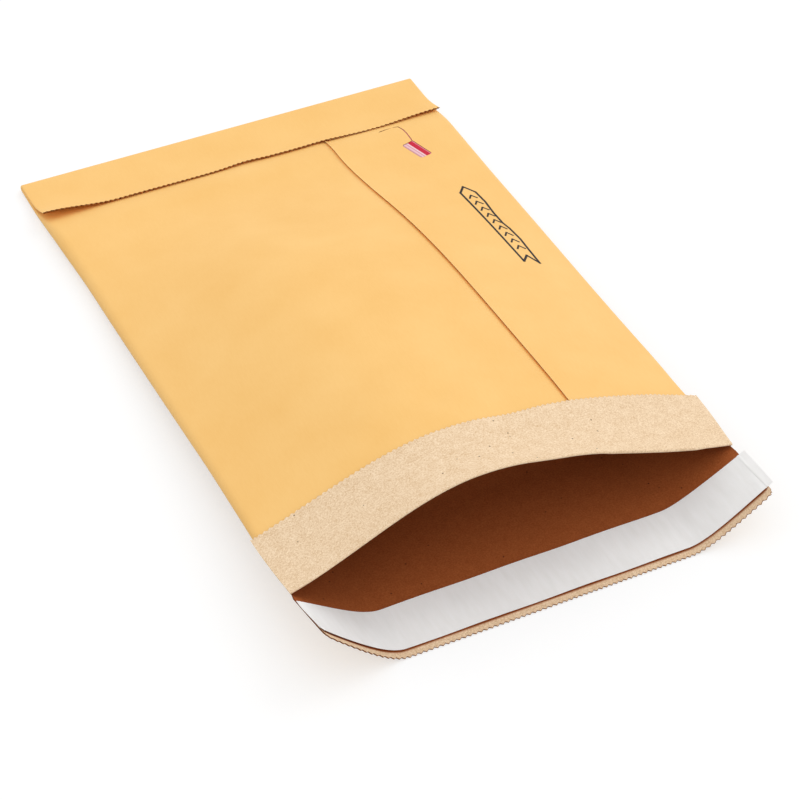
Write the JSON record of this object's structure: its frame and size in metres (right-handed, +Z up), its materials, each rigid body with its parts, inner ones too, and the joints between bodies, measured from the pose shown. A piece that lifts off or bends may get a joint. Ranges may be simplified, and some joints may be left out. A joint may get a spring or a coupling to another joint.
{
  "type": "padded envelope",
  "caption": "Open self-seal padded paper mailer: flat pouch with an arched mouth, turned-back cuff, closure flap with adhesive strip, lengthwise seam and folded-over end.",
  "frame": {"origin": "middle of the underside of the whole envelope as it lies on its back panel, flap included", "axes": "+Y along the envelope from the closure flap to the folded-over end, +X across it to the right of someone who looks along +Y, +Z up out of the front panel"},
  "size_m": [0.1855, 0.3099, 0.0428],
  "materials": {
    "gold_kraft_paper": "smooth dyed kraft paper, matt",
    "tan_kraft_paper": "unglazed recycled kraft paper with dark specks, matt",
    "paper_fibre": "loose shredded recycled paper fibre",
    "red_tape_film": "thin printed polymer film, semi-gloss",
    "clear_adhesive": "clear tacky pressure-sensitive adhesive",
    "release_paper": "silicone-coated release paper, satin"
  },
  "bodies": {
    "root": {"outer_sleeve": "gold_kraft_paper", "inner_paper": "tan_kraft_paper", "fibre_padding": "paper_fibre", "tear_tape": "red_tape_film", "adhesive_strip": "clear_adhesive", "release_liner": "release_paper"}
  },
  "joints": []
}
